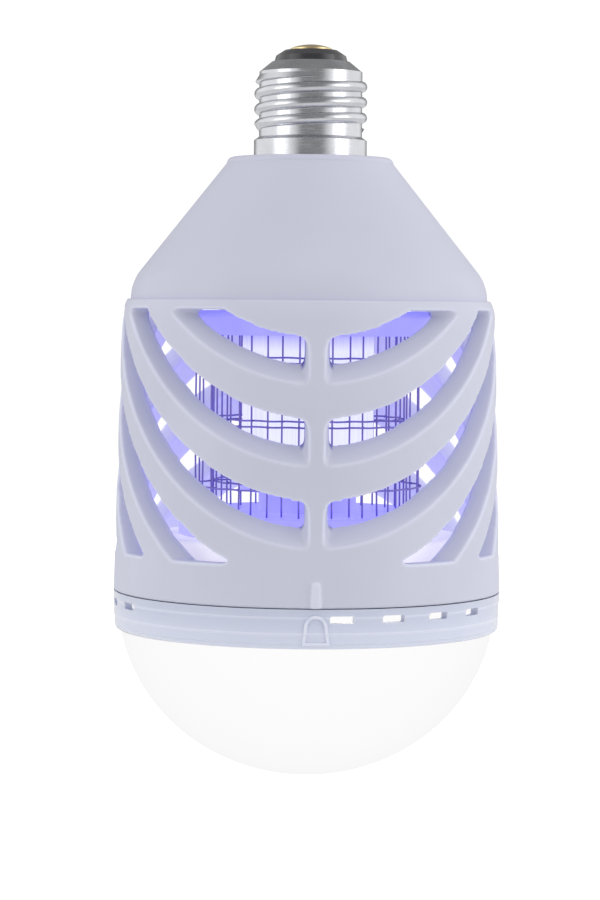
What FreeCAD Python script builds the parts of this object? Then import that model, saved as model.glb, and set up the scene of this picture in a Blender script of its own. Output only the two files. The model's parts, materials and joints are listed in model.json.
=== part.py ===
import FreeCAD, Part
import math
import os

os.makedirs("parts", exist_ok=True)

# Screw-in bug zapper bulb. Millimetres, +Z up. Z = 0 is the flat top of the cone, where the
# standard screw base begins, and the Z axis is the axis of the screw base. The front is -Y.

# ---------------------------------------------------------------- driving dimensions
GAP = 0.1
SNUG = 0.02

# Screw base, standard 27 mm size
SHELL_CREST_R = 13.2
SHELL_ROOT_R = 12.05
SHELL_BORE_R = 11.5
SHELL_PITCH = 3.629
SHELL_SKIRT_TOP = 4.0
SHELL_SEAT_Z = -0.6
SHELL_SEAT_R = 13.0
THREAD_TURNS = 4
THREAD_RUN_OUT = 2.8
SHELL_CYLINDER_TOP = 20.0
SHELL_TOP = 22.4
SHELL_TOP_R = 8.6
CONTACT_TIP = 26.5
CONTACT_R = 4.8

# Cone
CONE_TOP_R = 19.5
CONE_TOP_ROUND = 1.4
CONE_ANGLE = 38.3
CONE_BASE_R = 41.6
CONE_BASE_Z = -33.2
CONE_FOOT_ROUND = 11.0
CONE_WALL = 2.0
NECK_R = 11.35
NECK_BORE_R = 9.5
NECK_TOP = 16.0

# Cage
CAGE_TOP_Z = CONE_BASE_Z
CAGE_BASE_Z = -100.7
CAGE_RIM_STEP = 0.75
CAGE_SHOULDER_Z = -38.0
CAGE_SHOULDER_R = 43.6
CAGE_BASE_R = 45.0
CAGE_WALL = 4.4
CAGE_FLOOR = 2.0
CAGE_LIP_WALL = 1.2
CAGE_LIP_HEIGHT = 1.8
SLOT_TOP_Z = -35.5
SLOT_BASE_Z = -91.2
SLOT_SLOPE = 1.05
SLOT_PITCH = 17.6
SLOT_HEIGHT = 9.6
SLOT_FIRST_Z = -43.1
SLOT_COUNT = 8
SLOT_TOP_ROUND = 1.8
SLOT_FOOT_ROUND = 0.9
SPINE_WIDTH = 4.1
SPINE_FLARE = 1.0
MARK_WIDTH = 1.65
MARK_HEIGHT = 5.8
MARK_RELIEF = 0.5

# Twist lock between the cage and the lock ring
LUG_ANGLES = (60, 180, 300)
LUG_ANGLE = 9.0
LUG_TOP_Z = -95.4
LUG_HEIGHT = 2.0
LUG_R = 42.0
TWIST_ANGLE = 20.0

# Lock ring and dome
RING_TOP_Z = CAGE_BASE_Z - 0.1
RING_BASE_Z = -109.6
RING_R = 45.0
RING_WEB = 1.2
RING_STEPS_Z = (-102.8, -106.3, -108.4)
RING_STEP = 0.12
RING_BORE_R = 43.0
COLLAR_R = 40.2
COLLAR_BORE_R = 38.75
LEDGE_R = 37.0
DOME_CENTRE_Z = -102.9
DOME_R = 43.95
DOME_DROP = 40.7
DOME_WALL = 1.5
DOME_RIM_Z = -105.2
WINDOW_GROUPS = 3
WINDOWS_PER_GROUP = 4
WINDOW_WIDTH = 5.4
WINDOW_HEIGHT = 1.6
WINDOW_ROUND = 0.45
WINDOW_Z = -103.1
WINDOW_FIRST = 7.4
WINDOW_PITCH = 15.4
PADLOCK_WIDTH = 6.1
PADLOCK_TOP_Z = -102.1
PADLOCK_BASE_Z = -108.8
PADLOCK_LINE = 0.75
PADLOCK_ARCH_R = 2.6
RELIEF = 0.3

# Pull-out core
PLATE_R = 30.0
PLATE_TOP_Z = -35.8
PLATE_DECK_Z = -39.8
PLATE_SKIRT_Z = -41.3
PLATE_SKIRT = 1.6
BASE_PLATE_TOP_Z = -82.4
BASE_PLATE_BASE_Z = -87.7
HUB_TOP_Z = -75.8
HUB_R = 15.8
HUB_CAP = 1.8
HUB_NECK_R = 11.4
OUTER_GRID_R = 26.0
INNER_GRID_R = 22.5
OUTER_RODS = 22
INNER_RODS = 18
OUTER_FIRST = -96.9
INNER_FIRST = -87.7
ROD_R = 0.22
ROD_SEAT = 1.5
OUTER_HOOPS_Z = (-47.6, -62.0, -76.4)
INNER_HOOPS_Z = (-46.4, -60.8, -75.2)
TUBE_R = 15.0
TUBE_WALL = 1.2
TUBE_RIBS = 48
TUBE_RIB_R = 0.45
CORE_HALF = 7.0
CORE_WALL = 1.5
CORE_TOP_Z = -41.5
UV_BOARD_THICK = 1.0
LED_WIDTH = 2.8
LED_LENGTH = 3.5
LED_THICK = 0.8
UV_LED_ROWS = 5
CARRIER_R = 36.0
CARRIER_FLANGE_R = 38.3
CARRIER_FLANGE_Z = -97.0
CARRIER_FLANGE = 1.2
CARRIER_WALL = 1.8
LAMP_BOARD_R = 31.0
LAMP_BOARD_TOP_Z = -94.4
LAMP_BOARD_THICK = 1.6
LEAD_HOLE_R = 4.0

# Plug and socket
PIN_R = 0.9
PIN_CIRCLE_R = 5.0
PIN_ANGLES = (45, 135, 225, 315)
PIN_LOW_Z = -41.0
SOCKET_R = 8.8
SOCKET_HOLE_R = 9.2

# Driver board and screws
BOARD_R = 29.5
BOARD_TOP_Z = -27.4
BOARD_BASE_Z = BOARD_TOP_Z - 1.6
BOARD_SCREW_R = 25.5
BOARD_SCREW_ANGLES = (0, 120, 240)
CAGE_SCREW_R = 33.8
CAGE_SCREW_ANGLES = (60, 180, 300)
CARRIER_SCREW_R = 12.0
LAMP_SCREW_R = 26.0
CORE_SCREW_ANGLES = (0, 120, 240)
SMALL_SCREW = 1.0
LARGE_SCREW = 1.5

UP = FreeCAD.Vector(0, 0, 1)
ORIGIN = FreeCAD.Vector(0, 0, 0)


# ---------------------------------------------------------------- helpers
def vec(x, y, z):
    return FreeCAD.Vector(x, y, z)


def polar(radius, degrees, z=0.0):
    """Point at an angle counted from the front (-Y) towards +X."""
    angle = math.radians(degrees)
    return vec(radius * math.sin(angle), -radius * math.cos(angle), z)


def turned(shape, degrees):
    copy = shape.copy()
    copy.rotate(ORIGIN, UP, degrees)
    return copy


def cylinder(radius, z_low, z_high, x=0.0, y=0.0):
    return Part.makeCylinder(radius, z_high - z_low, vec(x, y, z_low))


def cylinders(radius, z_low, z_high, circle_r, angles):
    """Upright cylinders spread on a circle."""
    places = [polar(circle_r, angle) for angle in angles]
    return [cylinder(radius, z_low, z_high, p.x, p.y) for p in places]


def box(x_size, y_size, z_low, z_high, x=0.0, y=0.0):
    corner = vec(x - x_size / 2, y - y_size / 2, z_low)
    return Part.makeBox(x_size, y_size, z_high - z_low, corner)


def rod(radius, start, end):
    """Round bar between two points."""
    return Part.makeCylinder(radius, (end - start).Length, start, end - start)


def line(start, end):
    return Part.makeLine(vec(start[0], 0, start[1]), vec(end[0], 0, end[1]))


def arc(start, middle, end):
    points = [vec(r, 0, z) for r, z in (start, middle, end)]
    return Part.Arc(*points).toShape()


def chain(*points):
    """Straight edges through (radius, z) points."""
    return [line(a, b) for a, b in zip(points, points[1:])]


def on_circle(centre, radius, degrees):
    """Point on a circle in the profile plane; 0 degrees points outwards, 90 degrees up."""
    angle = math.radians(degrees)
    return (centre[0] + radius * math.cos(angle), centre[1] + radius * math.sin(angle))


def round_corner(centre, radius, from_degrees, to_degrees):
    middle = (from_degrees + to_degrees) / 2
    return arc(on_circle(centre, radius, from_degrees), on_circle(centre, radius, middle),
               on_circle(centre, radius, to_degrees))


def revolve(edges, degrees=360):
    """Solid of revolution of a closed chain of edges in the profile plane."""
    face = Part.Face(Part.Wire(edges))
    return face.revolve(ORIGIN, UP, degrees)


def tube(outer, inner, z_low, z_high):
    return revolve(chain((inner, z_low), (outer, z_low), (outer, z_high), (inner, z_high), (inner, z_low)))


def sector(outer, inner, z_low, z_high, middle_angle, width_angle):
    """Piece of a tube that spans an angle, counted from the front towards +X."""
    outline = chain((inner, z_low), (outer, z_low), (outer, z_high), (inner, z_high), (inner, z_low))
    solid = revolve(outline, width_angle)
    return turned(solid, middle_angle - width_angle / 2 - 90)


def fuse_all(shapes):
    shapes = list(shapes)
    return shapes[0].multiFuse(shapes[1:]).removeSplitter()


def cut_all(body, cutters):
    return body.cut(Part.makeCompound(list(cutters))).removeSplitter()


def edges_at(shape, z):
    """Edges that lie level at height z."""
    return [e for e in shape.Edges if abs(e.BoundBox.ZMin - z) < 1e-6 and abs(e.BoundBox.ZMax - z) < 1e-6]


def screw(radius, seat_z, length, x, y):
    """Pan-head screw that goes up from its seat, with a cross recess in the head below."""
    head_r = radius * 1.85
    head_h = radius * 1.2
    bottom = seat_z - head_h
    head = cylinder(head_r, bottom, seat_z, x, y)
    head = head.makeFillet(head_h * 0.4, edges_at(head, bottom))
    shank = cylinder(radius, bottom + head_h / 2, seat_z + length, x, y)
    shank = shank.makeChamfer(radius * 0.4, edges_at(shank, seat_z + length))
    arm = head_r * 1.1
    slot = head_r * 0.25
    depth = head_h * 0.45
    recess = box(arm, slot, bottom - 1, bottom + depth, x, y)
    recess = recess.fuse(box(slot, arm, bottom - 1, bottom + depth, x, y))
    return head.fuse(shank).cut(recess).removeSplitter()


def screws(radius, seat_z, length, circle_r, angles):
    places = [polar(circle_r, angle) for angle in angles]
    return [screw(radius, seat_z, length, p.x, p.y) for p in places]


def lead(radius, points, start_side=1):
    """Flexible round lead along a smooth curve, cut level at both ends; start_side -1 starts upwards."""
    curve = Part.BSplineCurve()
    curve.interpolate([points[0] + UP * start_side] + points + [points[-1] - UP])
    edge = curve.toShape()
    first = edge.FirstParameter
    section = Part.Wire([Part.makeCircle(radius, edge.valueAt(first), edge.tangentAt(first))])
    body = Part.Wire([edge]).makePipeShell([section], True, False)
    cutters = []
    for point, side in ((points[0], start_side), (points[-1], -1)):
        low, high = sorted((point.z, point.z + 3 * side))
        cutters.append(box(4 * radius, 4 * radius, low, high, point.x, point.y))
    return cut_all(body, cutters)


def save(name, shapes):
    """Write one node; a list of shapes becomes a group of separate solids."""
    group = shapes if isinstance(shapes, list) else [shapes]
    shape = group[0] if len(group) == 1 else Part.makeCompound(group)
    if not shape.isValid():
        raise ValueError(name + " is not a valid shape")
    shape.exportStep("parts/" + name + ".step")
    print(name, len(shape.Solids), "solids", round(shape.Volume), "mm3")


# ---------------------------------------------------------------- screw base
def thread_bead():
    """Rounded thread as one helical strip, rooted in the shell's wall, that runs out at both ends."""
    root = SHELL_ROOT_R - 0.3
    half = 1.3
    z_start = SHELL_SKIRT_TOP + half + 0.5
    rise = SHELL_PITCH * THREAD_TURNS - 0.9
    helix = Part.makeHelix(SHELL_PITCH, rise, SHELL_ROOT_R)
    helix.translate(vec(0, 0, z_start))
    low = (root, z_start - half)
    high = (root, z_start + half)
    section = Part.Wire([arc(low, (SHELL_CREST_R, z_start), high), line(high, low)])
    strip = Part.Wire(helix.Edges).makePipeShell([section], True, True)
    low_end = z_start - 0.4
    high_end = z_start + rise + 0.4
    crest = SHELL_CREST_R + 0.2
    envelope = revolve(chain((0, low_end), (root, low_end), (crest, low_end + THREAD_RUN_OUT),
                             (crest, high_end - THREAD_RUN_OUT), (root, high_end), (0, high_end), (0, low_end)))
    return strip.common(envelope)


def screw_shell():
    wall = SHELL_ROOT_R - SHELL_BORE_R
    body = revolve(chain(
        (SHELL_BORE_R, SHELL_SEAT_Z), (SHELL_SEAT_R, SHELL_SEAT_Z), (SHELL_SEAT_R, 0.0),
        (SHELL_CREST_R, 0.0), (SHELL_CREST_R, SHELL_SKIRT_TOP),
        (SHELL_ROOT_R, SHELL_SKIRT_TOP + 0.8), (SHELL_ROOT_R, SHELL_CYLINDER_TOP),
        (SHELL_TOP_R + wall, SHELL_TOP), (SHELL_TOP_R, SHELL_TOP), (SHELL_TOP_R, SHELL_TOP - wall),
        (SHELL_BORE_R, SHELL_CYLINDER_TOP - wall), (SHELL_BORE_R, SHELL_SEAT_Z)))
    return body.fuse(thread_bead()).removeSplitter()


def base_insulator():
    """Glass-like plug in the mouth of the shell, with a seat for the centre contact."""
    rim_r = SHELL_TOP_R - SNUG
    seat_z = CONTACT_TIP - 2.0
    wire_bore = 2.0
    return revolve(chain(
        (wire_bore, SHELL_TOP - 3.0), (rim_r, SHELL_TOP - 3.0), (rim_r, SHELL_TOP),
        (rim_r - 0.4, SHELL_TOP + 1.4), (CONTACT_R + 1.4, seat_z + 0.6), (CONTACT_R + GAP, seat_z + 0.6),
        (CONTACT_R + GAP, seat_z), (wire_bore, seat_z), (wire_bore, SHELL_TOP - 3.0)))


def centre_contact():
    """Brass button with a shallow spherical crown."""
    seat_z = CONTACT_TIP - 2.0
    crown = 0.9
    crown_r = (CONTACT_R ** 2 + crown ** 2) / (2 * crown)
    start = math.degrees(math.acos(CONTACT_R / crown_r))
    return revolve(
        chain((0, seat_z), (CONTACT_R, seat_z), (CONTACT_R, CONTACT_TIP - crown))
        + [round_corner((0, CONTACT_TIP - crown_r), crown_r, start, 90)]
        + [line((0, CONTACT_TIP), (0, seat_z))])


# ---------------------------------------------------------------- upper housing
def cone_side(inset, top_z):
    """Straight side and rounded foot of the cone from top_z down, moved inwards by inset."""
    angle = math.radians(CONE_ANGLE)
    corner_z = -CONE_TOP_ROUND - (CONE_BASE_R - CONE_TOP_R) / math.tan(angle)
    centre = (CONE_BASE_R - CONE_FOOT_ROUND, corner_z - CONE_FOOT_ROUND * math.tan(angle / 2))
    radius = CONE_FOOT_ROUND - inset
    bend_start = on_circle(centre, radius, CONE_ANGLE)
    bend_end = on_circle(centre, radius, 0)
    top = (bend_start[0] - (top_z - bend_start[1]) * math.tan(angle), top_z)
    foot = (bend_end[0], CONE_BASE_Z)
    edges = [line(top, bend_start), round_corner(centre, radius, CONE_ANGLE, 0), line(bend_end, foot)]
    return top, edges, foot


def cone_shell():
    top_outer, outer_edges, foot_outer = cone_side(0, -CONE_TOP_ROUND)
    top_inner, inner_edges, foot_inner = cone_side(CONE_WALL, -CONE_WALL)
    flat_edge = (top_outer[0] - CONE_TOP_ROUND, 0)
    shoulder = arc(flat_edge, (top_outer[0] - 0.5, -0.36), top_outer)
    return revolve(
        chain((NECK_BORE_R, -CONE_WALL), (NECK_BORE_R, NECK_TOP), (NECK_R, NECK_TOP),
              (NECK_R, SHELL_SEAT_Z), (SHELL_CREST_R + GAP, SHELL_SEAT_Z), (SHELL_CREST_R + GAP, 0), flat_edge)
        + [shoulder] + outer_edges + [line(foot_outer, foot_inner)] + inner_edges[::-1]
        + [line(top_inner, (NECK_BORE_R, -CONE_WALL))])


def cone_core():
    """Solid that ends halfway into the cone's wall; it trims what is built up from inside."""
    half = CONE_WALL / 2
    top, edges, foot = cone_side(half, -half)
    return revolve([line((0, -half), top)] + edges + chain(foot, (0, CONE_BASE_Z), (0, -half)))


def upper_housing():
    """Cone with the neck inside the screw shell, three cage bosses and three board bosses."""
    cage_bosses = cylinders(3.4, CONE_BASE_Z, -8, CAGE_SCREW_R, CAGE_SCREW_ANGLES)
    board_bosses = cylinders(2.9, BOARD_TOP_Z, -3, BOARD_SCREW_R, BOARD_SCREW_ANGLES)
    limit = cone_core()
    bosses = [boss.common(limit) for boss in cage_bosses + board_bosses]
    holes = cylinders(LARGE_SCREW + SNUG, CONE_BASE_Z - 1, CONE_BASE_Z + 8, CAGE_SCREW_R, CAGE_SCREW_ANGLES)
    holes += cylinders(SMALL_SCREW + SNUG, BOARD_TOP_Z - 1, BOARD_TOP_Z + 7, BOARD_SCREW_R, BOARD_SCREW_ANGLES)
    return cut_all(fuse_all([cone_shell()] + bosses), holes)


# ---------------------------------------------------------------- cage
def cage_shell():
    """Drafted wall with a rounded top rim, a floor under the electronics and a lip into the cone."""
    # the lip fits inside the cone's rounded foot
    cone_bend = CONE_FOOT_ROUND - CONE_WALL
    lip_r = CONE_BASE_R - CONE_FOOT_ROUND + math.sqrt(cone_bend ** 2 - CAGE_LIP_HEIGHT ** 2) - GAP
    lip_z = CAGE_TOP_Z + CAGE_LIP_HEIGHT
    # the shoulder's arc starts at the rim and ends tangent to the drafted wall
    rim_r = CONE_BASE_R + CAGE_RIM_STEP
    draft = math.atan((CAGE_BASE_R - CAGE_SHOULDER_R) / (CAGE_SHOULDER_Z - CAGE_BASE_Z))
    rise = CAGE_TOP_Z - CAGE_SHOULDER_Z
    step = CAGE_SHOULDER_R - rim_r
    shoulder_round = (step ** 2 + rise ** 2) / (2 * (step * math.cos(draft) - rise * math.sin(draft)))
    shoulder_centre = (CAGE_SHOULDER_R - shoulder_round * math.cos(draft),
                       CAGE_SHOULDER_Z - shoulder_round * math.sin(draft))
    rim_turn = math.atan2(CAGE_TOP_Z - shoulder_centre[1], rim_r - shoulder_centre[0])
    inner_top = CAGE_SHOULDER_R - CAGE_WALL
    inner_base = CAGE_BASE_R - CAGE_WALL
    floor_z = CAGE_TOP_Z - CAGE_FLOOR
    bend = 2.0
    bend_centre = (inner_top - bend, floor_z - bend)
    return revolve(
        chain((lip_r, lip_z), (lip_r, CAGE_TOP_Z), (rim_r, CAGE_TOP_Z))
        + [round_corner(shoulder_centre, shoulder_round, math.degrees(rim_turn), math.degrees(draft))]
        + chain((CAGE_SHOULDER_R, CAGE_SHOULDER_Z), (CAGE_BASE_R, CAGE_BASE_Z), (inner_base, CAGE_BASE_Z),
                (inner_top, floor_z - bend))
        + [round_corner(bend_centre, bend, 0, 90)]
        + chain((inner_top - bend, floor_z), (SOCKET_HOLE_R, floor_z), (SOCKET_HOLE_R, CAGE_TOP_Z),
                (lip_r - CAGE_LIP_WALL, CAGE_TOP_Z), (lip_r - CAGE_LIP_WALL, lip_z), (lip_r, lip_z)))


def slot_half(z_front, side):
    """Front (side -1) or back (side 1) half of one sloping slot on the right of the spine.

    The end beside the spine slants, so that the spine is wider on the inside of the wall.
    """
    reach = CAGE_BASE_R + 5
    slant = SPINE_FLARE / CAGE_WALL
    near = SPINE_WIDTH / 2 - (reach - CAGE_SHOULDER_R) * slant
    corners = [(near, side * reach), (near + reach * slant, 0), (reach, 0), (reach, side * reach)]
    outline = [vec(x, y, z_front + (y + CAGE_BASE_R) * SLOT_SLOPE) for x, y in corners + corners[:1]]
    slab = Part.Face(Part.makePolygon(outline)).extrude(vec(0, 0, -SLOT_HEIGHT))
    for pick, radius in ((max, SLOT_TOP_ROUND), (min, SLOT_FOOT_ROUND)):
        ends = [edge for edge in slab.Edges if edge.BoundBox.YLength > reach / 2 and edge.BoundBox.XMax < reach / 2]
        slab = slab.makeFillet(radius, [pick(ends, key=lambda edge: edge.CenterOfMass.z)])
    return slab


def slot_cutters():
    """Slots on both sides of the spine, ended flat at the top and at the bottom of the slotted band."""
    span = 2 * CAGE_BASE_R + 10
    band = box(span, span, SLOT_BASE_Z, SLOT_TOP_Z)
    cutters = []
    for index in range(SLOT_COUNT):
        z_front = SLOT_FIRST_Z - index * SLOT_PITCH
        right = slot_half(z_front, -1).fuse(slot_half(z_front, 1)).common(band)
        cutters += [right, right.mirror(ORIGIN, vec(1, 0, 0))]
    return cutters


def bayonet_cutters():
    """Entry notches and the groove that the lock ring's lugs turn into."""
    inner = CAGE_BASE_R - CAGE_WALL - 2.0
    outer = LUG_R + 0.25
    low = LUG_TOP_Z - LUG_HEIGHT - 0.2
    high = LUG_TOP_Z + 0.3
    cutters = []
    for angle in LUG_ANGLES:
        cutters.append(sector(outer, inner, low, high, angle + TWIST_ANGLE / 2, LUG_ANGLE + TWIST_ANGLE + 3))
        cutters.append(sector(outer, inner, CAGE_BASE_Z - 1, high, angle + TWIST_ANGLE, LUG_ANGLE + 2))
    return cutters


def cage():
    shell = cage_shell()
    mark_y = -(CAGE_BASE_R + MARK_RELIEF - 1.0)
    mark = box(MARK_WIDTH, 2.0, CAGE_BASE_Z, CAGE_BASE_Z + MARK_HEIGHT, 0, mark_y)
    body = cut_all(shell, slot_cutters()).fuse(mark)
    screw_holes = cylinders(LARGE_SCREW + 0.2, CAGE_TOP_Z - CAGE_FLOOR - 1, CAGE_TOP_Z + 1,
                            CAGE_SCREW_R, CAGE_SCREW_ANGLES)
    return cut_all(body, bayonet_cutters() + screw_holes)


# ---------------------------------------------------------------- driver electronics
def driver_board():
    board = cylinder(BOARD_R, BOARD_BASE_Z, BOARD_TOP_Z)
    return cut_all(board, cylinders(SMALL_SCREW + 0.2, BOARD_BASE_Z - 1, BOARD_TOP_Z + 1,
                                    BOARD_SCREW_R, BOARD_SCREW_ANGLES))


def bulk_capacitor():
    """Upright electrolytic can with a rounded top edge, a crimp groove and a scored vent."""
    x, y, radius, height = 0.0, 13.5, 4.0, 14.0
    top = BOARD_TOP_Z + height
    can = cylinder(radius, BOARD_TOP_Z, top, x, y)
    can = can.makeFillet(0.6, edges_at(can, top))
    groove = Part.makeTorus(radius + 0.35, 0.8, vec(x, y, BOARD_TOP_Z + 2.4), UP)
    vent = box(4.0, 0.4, top - 0.25, top + 1, x, y).fuse(box(0.4, 4.0, top - 0.25, top + 1, x, y))
    return can.cut(groove).cut(vent)


def rounded_block(x_size, y_size, height, x, y, radius):
    """Component body on the board with its upper edges rounded."""
    block = box(x_size, y_size, BOARD_TOP_Z, BOARD_TOP_Z + height, x, y)
    upper = [e for e in block.Edges if e.BoundBox.ZMax > BOARD_TOP_Z + height / 2]
    return block.makeFillet(radius, upper)


def film_capacitors():
    return [rounded_block(10.5, 5.0, 9.0, 0.0, -9.6, 0.7), rounded_block(10.5, 4.2, 8.0, 0.0, -15.4, 0.7)]


TRANSFORMER_X = -13.5
TRANSFORMER_Y = 3.0
TRANSFORMER_SEAT_Z = BOARD_TOP_Z + 2.6
CORE_HEIGHT = 12.0
CORE_WINDOW = 3.6
CORE_LIMB = 3.6


def transformer_core():
    """Pair of E-shaped ferrites, drawn closed: an outer frame round the middle limb."""
    x, y, low = TRANSFORMER_X, TRANSFORMER_Y, TRANSFORMER_SEAT_Z
    frame = box(15.2, 5.6, low, low + CORE_HEIGHT, x, y)
    offset = (CORE_LIMB + CORE_WINDOW) / 2
    windows = [box(CORE_WINDOW, 7.0, low + 2.2, low + CORE_HEIGHT - 2.2, x + side * offset, y)
               for side in (-1, 1)]
    return cut_all(frame, windows)


def transformer_winding():
    """Wound spool that fills the core's windows, on a pinned foot."""
    x, y, low = TRANSFORMER_X, TRANSFORMER_Y, TRANSFORMER_SEAT_Z
    width = CORE_LIMB + 2 * CORE_WINDOW - 2 * GAP
    spool = box(width, 11.0, low + 2.2 + GAP, low + CORE_HEIGHT - 2.2 - GAP, x, y)
    spool = spool.makeFillet(1.6, [e for e in spool.Edges if e.BoundBox.ZLength > 5])
    spool = spool.cut(box(CORE_LIMB + 2 * GAP, 5.6 + 2 * GAP, low, low + CORE_HEIGHT, x, y))
    foot = box(13.0, 11.0, BOARD_TOP_Z, low, x, y)
    walls = [box(9.0, 2.2, low - 1, low + 3, x, y + side * 4.4) for side in (-1, 1)]
    return fuse_all([spool, foot] + walls)


def bridge_rectifier():
    return rounded_block(7.5, 3.4, 6.5, 13.5, 9.5, 0.5)


def fuse_resistor():
    """Axial fusible resistor lying above the board on its two bent leads."""
    x, y, z = 12.5, -10.5, BOARD_TOP_Z + 2.6
    reach = 5.8
    pieces = [rod(1.9, vec(x, y - 4, z), vec(x, y + 4, z)),
              rod(0.35, vec(x, y - reach, z), vec(x, y + reach, z))]
    for side in (-1, 1):
        pieces.append(cylinder(0.35, BOARD_TOP_Z, z, x, y + side * reach))
        pieces.append(Part.makeSphere(0.35, vec(x, y + side * reach, z)))
    return fuse_all(pieces)


MULTIPLIER_Y = (-3.6, -0.6, 2.4, 5.4)


def multiplier_diodes():
    """Four small axial diodes in a row."""
    x, z, reach = 18.0, BOARD_TOP_Z + 1.5, 3.4
    diodes = []
    for y in MULTIPLIER_Y:
        pieces = [rod(1.2, vec(x - 2.2, y, z), vec(x + 2.2, y, z)),
                  rod(0.3, vec(x - reach, y, z), vec(x + reach, y, z))]
        for side in (-1, 1):
            pieces.append(cylinder(0.3, BOARD_TOP_Z, z, x + side * reach, y))
            pieces.append(Part.makeSphere(0.3, vec(x + side * reach, y, z)))
        diodes.append(fuse_all(pieces))
    return diodes


def multiplier_capacitors():
    """Four upright ceramic discs."""
    x, z = 8.0, BOARD_TOP_Z + 4.6
    discs = []
    for y in MULTIPLIER_Y:
        pieces = [rod(3.4, vec(x, y - 0.9, z), vec(x, y + 0.9, z))]
        pieces += [cylinder(0.3, BOARD_TOP_Z, z, x + side * 2.2, y) for side in (-1, 1)]
        discs.append(fuse_all(pieces))
    return discs


def driver_chip():
    """Eight-legged chip."""
    x, y = -10.0, -18.5
    pieces = [box(4.9, 3.9, BOARD_TOP_Z + 0.2, BOARD_TOP_Z + 1.7, x, y)]
    for side in (-1, 1):
        for index in range(4):
            leg_x = x + (index - 1.5) * 1.27
            pieces.append(box(0.45, 1.2, BOARD_TOP_Z, BOARD_TOP_Z + 0.8, leg_x, y + side * 2.4))
    return fuse_all(pieces)


def live_wire():
    """Lead from the centre contact down through the neck to the board."""
    return lead(0.7, [vec(0, 0, CONTACT_TIP - 2.0), vec(0.3, -0.3, 18), vec(2, -3, 5), vec(4.5, -7, -7),
                      vec(9, -15, -16), vec(10, -21, -23), vec(10, -22, BOARD_TOP_Z)])


def neutral_wire():
    """Lead from the shell's wall, over the neck's edge and down to the board."""
    return lead(0.7, [vec(-10.7, 0, NECK_TOP + GAP), vec(-9.7, 0, 17.8), vec(-8.2, 0, 16.8), vec(-6.8, 0.6, 13),
                      vec(-5, 3, 0), vec(-6.5, 9, -9), vec(-10.5, 15, -16), vec(-12, 17.5, -22),
                      vec(-12, 18, BOARD_TOP_Z)], -1)


# ---------------------------------------------------------------- socket and plug
def socket_body():
    """Four-way socket under the board, reaching through the cage's floor."""
    low = CAGE_TOP_Z - CAGE_FLOOR
    body = cylinder(SOCKET_R, low, BOARD_BASE_Z)
    flange = cylinder(SOCKET_R + 2.0, CAGE_TOP_Z + GAP, BOARD_BASE_Z)
    holes = cylinders(PIN_R + 0.5, low - 1, BOARD_BASE_Z - 0.6, PIN_CIRCLE_R, PIN_ANGLES)
    return cut_all(fuse_all([body, flange]), holes)


def socket_contacts():
    """Sleeves with a slit, which grip the core's pins."""
    low = CAGE_TOP_Z - CAGE_FLOOR + 0.5
    top = BOARD_BASE_Z - 0.6
    sleeves = []
    for angle in PIN_ANGLES:
        sleeve = cylinder(PIN_R + 0.4, low, top)
        sleeve = sleeve.cut(cylinder(PIN_R + 0.05, low - 1, top - 0.5))
        sleeve = sleeve.cut(box(0.3, 2.0, low - 1, top - 1, 0, -1))
        sleeve.translate(vec(0, -PIN_CIRCLE_R, 0))
        sleeves.append(turned(sleeve, angle))
    return sleeves


def plug_pins():
    """Pins that stand up from the core's top plate into the socket."""
    high = BOARD_BASE_Z - 1.6
    pins = cylinders(PIN_R, PIN_LOW_Z, high, PIN_CIRCLE_R, PIN_ANGLES)
    return [pin.makeFillet(0.5, edges_at(pin, high)) for pin in pins]


# ---------------------------------------------------------------- pull-out core
def rod_angles(count, first):
    return [first + index * 360 / count for index in range(count)]


def basket_seats(z_low, z_high):
    """Holes for the rods of both baskets."""
    holes = cylinders(ROD_R + SNUG, z_low, z_high, OUTER_GRID_R, rod_angles(OUTER_RODS, OUTER_FIRST))
    return holes + cylinders(ROD_R + SNUG, z_low, z_high, INNER_GRID_R, rod_angles(INNER_RODS, INNER_FIRST))


def grid_lead_ends():
    """Start and end of the two level leads that feed the baskets from two of the pins."""
    z = PLATE_DECK_Z + 0.5
    inner = rod_angles(INNER_RODS, INNER_FIRST)[7]
    outer = rod_angles(OUTER_RODS, OUTER_FIRST)[20]
    return [(polar(PIN_CIRCLE_R, 45, z), polar(INNER_GRID_R, inner, z)),
            (polar(PIN_CIRCLE_R, 225, z), polar(OUTER_GRID_R, outer, z))]


def grid_leads():
    leads = []
    for start, end in grid_lead_ends():
        along = (end - start).normalize()
        leads.append(rod(0.4, start + along * (PIN_R + SNUG), end - along * (ROD_R + SNUG)))
    return leads


def grid_top_plate():
    """Inverted dish under the cage's floor, which holds the pins and the tops of the wires."""
    edge = 1.5
    bore = PLATE_R - PLATE_SKIRT
    body = revolve(
        [line((0, PLATE_TOP_Z), (PLATE_R - edge, PLATE_TOP_Z)),
         round_corner((PLATE_R - edge, PLATE_TOP_Z - edge), edge, 90, 0)]
        + chain((PLATE_R, PLATE_TOP_Z - edge), (PLATE_R, PLATE_SKIRT_Z), (bore, PLATE_SKIRT_Z),
                (bore, PLATE_DECK_Z), (0, PLATE_DECK_Z), (0, PLATE_TOP_Z)))
    spigot_r = TUBE_R - TUBE_WALL - GAP
    spigot = tube(spigot_r, spigot_r - 1.4, PLATE_DECK_Z - 1.2, PLATE_DECK_Z + 0.5)
    cutters = basket_seats(PLATE_DECK_Z - 1, PLATE_DECK_Z + ROD_SEAT)
    cutters += cylinders(PIN_R + SNUG, PLATE_DECK_Z - 1, PLATE_TOP_Z + 1, PIN_CIRCLE_R, PIN_ANGLES)
    for start, end in grid_lead_ends():
        groove = Part.makeBox(1.0, (end - start).Length, 1.0, vec(-0.5, 0, -0.5))
        groove.rotate(ORIGIN, UP, math.degrees(math.atan2(end.y - start.y, end.x - start.x)) - 90)
        groove.translate(start)
        cutters.append(groove)
    return cut_all(fuse_all([body, spigot]), cutters)


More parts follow.
